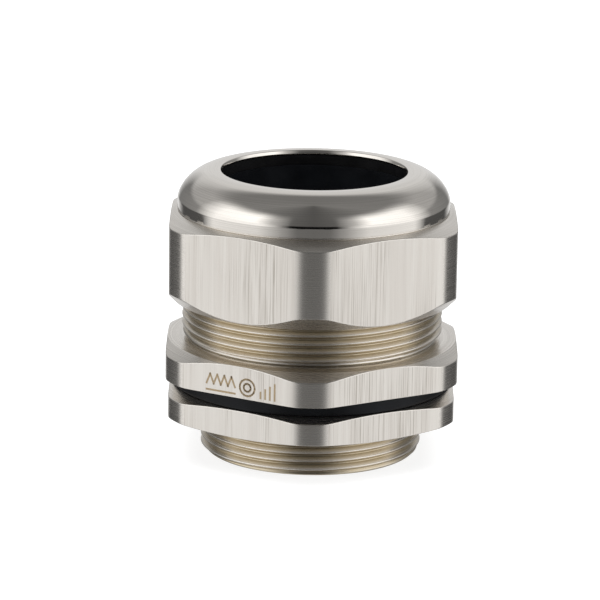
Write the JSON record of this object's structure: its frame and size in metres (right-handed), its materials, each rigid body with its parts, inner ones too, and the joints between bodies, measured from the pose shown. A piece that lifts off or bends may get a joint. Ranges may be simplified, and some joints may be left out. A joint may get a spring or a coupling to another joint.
{
  "type": "cable gland",
  "caption": "Metal cable gland with a dome nut, claw and seal, a hexagon body, a sealing washer, an entry thread and a locknut.",
  "frame": {"origin": "middle of the end face of the entry thread, on which the gland stands", "axes": "+Z along the gland's axis, from the entry thread to the dome nut; hexagon corners on +Y and -Y"},
  "size_m": [0.052, 0.0568, 0.0511],
  "materials": {
    "nickel_brass": "nickel plated, fine turned",
    "black_rubber": "smooth moulded",
    "black_nylon": "moulded"
  },
  "bodies": {
    "gland_body": {"gland_body": "nickel_brass"},
    "claw": {"claw_ring": "black_nylon", "seal_insert": "black_rubber"},
    "dome_nut": {"dome_nut": "nickel_brass"},
    "claw_finger_01": {"claw_finger_01": "black_nylon"},
    "claw_finger_02": {"claw_finger_02": "black_nylon"},
    "claw_finger_03": {"claw_finger_03": "black_nylon"},
    "claw_finger_04": {"claw_finger_04": "black_nylon"},
    "claw_finger_05": {"claw_finger_05": "black_nylon"},
    "claw_finger_06": {"claw_finger_06": "black_nylon"},
    "claw_finger_07": {"claw_finger_07": "black_nylon"},
    "claw_finger_08": {"claw_finger_08": "black_nylon"},
    "claw_finger_09": {"claw_finger_09": "black_nylon"},
    "claw_finger_10": {"claw_finger_10": "black_nylon"},
    "claw_finger_11": {"claw_finger_11": "black_nylon"},
    "claw_finger_12": {"claw_finger_12": "black_nylon"},
    "claw_finger_13": {"claw_finger_13": "black_nylon"},
    "claw_finger_14": {"claw_finger_14": "black_nylon"},
    "claw_finger_15": {"claw_finger_15": "black_nylon"},
    "claw_finger_16": {"claw_finger_16": "black_nylon"},
    "sealing_washer": {"sealing_washer": "black_rubber"},
    "locknut": {"locknut": "nickel_brass"}
  },
  "joints": [
    {"name": "claw_slide", "type": "slide", "parent": "gland_body", "child": "claw", "axis": [0, 0, 1], "range_m": [-0.006, 0], "deforming": ["seal_insert"]},
    {"name": "dome_nut_turn", "type": "hinge", "parent": "claw", "child": "dome_nut", "pos_m": [0, 0, 0.04], "axis": [0, 0, 1], "range_deg": [-1440.5, 0]},
    {"name": "claw_finger_01_hinge", "type": "hinge", "parent": "claw", "child": "claw_finger_01", "pos_m": [0.0202, 0, 0.0439], "axis": [0, 1, 0], "range_deg": [0, 21.5]},
    {"name": "claw_finger_02_hinge", "type": "hinge", "parent": "claw", "child": "claw_finger_02", "pos_m": [0.01866, 0.00773, 0.0439], "axis": [-0.3827, 0.9239, 0], "range_deg": [0, 21.5]},
    {"name": "claw_finger_03_hinge", "type": "hinge", "parent": "claw", "child": "claw_finger_03", "pos_m": [0.01428, 0.01428, 0.0439], "axis": [-0.7071, 0.7071, 0], "range_deg": [0, 21.5]},
    {"name": "claw_finger_04_hinge", "type": "hinge", "parent": "claw", "child": "claw_finger_04", "pos_m": [0.00773, 0.01866, 0.0439], "axis": [-0.9239, 0.3827, 0], "range_deg": [0, 21.5]},
    {"name": "claw_finger_05_hinge", "type": "hinge", "parent": "claw", "child": "claw_finger_05", "pos_m": [0, 0.0202, 0.0439], "axis": [-1, 0, 0], "range_deg": [0, 21.5]},
    {"name": "claw_finger_06_hinge", "type": "hinge", "parent": "claw", "child": "claw_finger_06", "pos_m": [-0.00773, 0.01866, 0.0439], "axis": [-0.9239, -0.3827, 0], "range_deg": [0, 21.5]},
    {"name": "claw_finger_07_hinge", "type": "hinge", "parent": "claw", "child": "claw_finger_07", "pos_m": [-0.01428, 0.01428, 0.0439], "axis": [-0.7071, -0.7071, 0], "range_deg": [0, 21.5]},
    {"name": "claw_finger_08_hinge", "type": "hinge", "parent": "claw", "child": "claw_finger_08", "pos_m": [-0.01866, 0.00773, 0.0439], "axis": [-0.3827, -0.9239, 0], "range_deg": [0, 21.5]},
    {"name": "claw_finger_09_hinge", "type": "hinge", "parent": "claw", "child": "claw_finger_09", "pos_m": [-0.0202, 0, 0.0439], "axis": [0, -1, 0], "range_deg": [0, 21.5]},
    {"name": "claw_finger_10_hinge", "type": "hinge", "parent": "claw", "child": "claw_finger_10", "pos_m": [-0.01866, -0.00773, 0.0439], "axis": [0.3827, -0.9239, 0], "range_deg": [0, 21.5]},
    {"name": "claw_finger_11_hinge", "type": "hinge", "parent": "claw", "child": "claw_finger_11", "pos_m": [-0.01428, -0.01428, 0.0439], "axis": [0.7071, -0.7071, 0], "range_deg": [0, 21.5]},
    {"name": "claw_finger_12_hinge", "type": "hinge", "parent": "claw", "child": "claw_finger_12", "pos_m": [-0.00773, -0.01866, 0.0439], "axis": [0.9239, -0.3827, 0], "range_deg": [0, 21.5]},
    {"name": "claw_finger_13_hinge", "type": "hinge", "parent": "claw", "child": "claw_finger_13", "pos_m": [0, -0.0202, 0.0439], "axis": [1, 0, 0], "range_deg": [0, 21.5]},
    {"name": "claw_finger_14_hinge", "type": "hinge", "parent": "claw", "child": "claw_finger_14", "pos_m": [0.00773, -0.01866, 0.0439], "axis": [0.9239, 0.3827, 0], "range_deg": [0, 21.5]},
    {"name": "claw_finger_15_hinge", "type": "hinge", "parent": "claw", "child": "claw_finger_15", "pos_m": [0.01428, -0.01428, 0.0439], "axis": [0.7071, 0.7071, 0], "range_deg": [0, 21.5]},
    {"name": "claw_finger_16_hinge", "type": "hinge", "parent": "claw", "child": "claw_finger_16", "pos_m": [0.01866, -0.00773, 0.0439], "axis": [0.3827, 0.9239, 0], "range_deg": [0, 21.5]},
    {"name": "washer_slide", "type": "slide", "parent": "gland_body", "child": "sealing_washer", "axis": [0, 0, 1], "range_m": [-0.0069, 0]},
    {"name": "locknut_turn", "type": "hinge", "parent": "sealing_washer", "child": "locknut", "pos_m": [0, 0, 0.01], "axis": [0, 0, 1], "range_deg": [-1656.5, 0]}
  ],
  "couplings": [
    {"joint": "dome_nut_turn", "follows": "claw_slide", "rad_per_m": 4188.8},
    {"joint": "claw_finger_01_hinge", "follows": "claw_slide", "rad_per_m": -61.087},
    {"joint": "claw_finger_02_hinge", "follows": "claw_slide", "rad_per_m": -61.087},
    {"joint": "claw_finger_03_hinge", "follows": "claw_slide", "rad_per_m": -61.087},
    {"joint": "claw_finger_04_hinge", "follows": "claw_slide", "rad_per_m": -61.087},
    {"joint": "claw_finger_05_hinge", "follows": "claw_slide", "rad_per_m": -61.087},
    {"joint": "claw_finger_06_hinge", "follows": "claw_slide", "rad_per_m": -61.087},
    {"joint": "claw_finger_07_hinge", "follows": "claw_slide", "rad_per_m": -61.087},
    {"joint": "claw_finger_08_hinge", "follows": "claw_slide", "rad_per_m": -61.087},
    {"joint": "claw_finger_09_hinge", "follows": "claw_slide", "rad_per_m": -61.087},
    {"joint": "claw_finger_10_hinge", "follows": "claw_slide", "rad_per_m": -61.087},
    {"joint": "claw_finger_11_hinge", "follows": "claw_slide", "rad_per_m": -61.087},
    {"joint": "claw_finger_12_hinge", "follows": "claw_slide", "rad_per_m": -61.087},
    {"joint": "claw_finger_13_hinge", "follows": "claw_slide", "rad_per_m": -61.087},
    {"joint": "claw_finger_14_hinge", "follows": "claw_slide", "rad_per_m": -61.087},
    {"joint": "claw_finger_15_hinge", "follows": "claw_slide", "rad_per_m": -61.087},
    {"joint": "claw_finger_16_hinge", "follows": "claw_slide", "rad_per_m": -61.087},
    {"joint": "locknut_turn", "follows": "washer_slide", "rad_per_m": 4188.8}
  ]
}
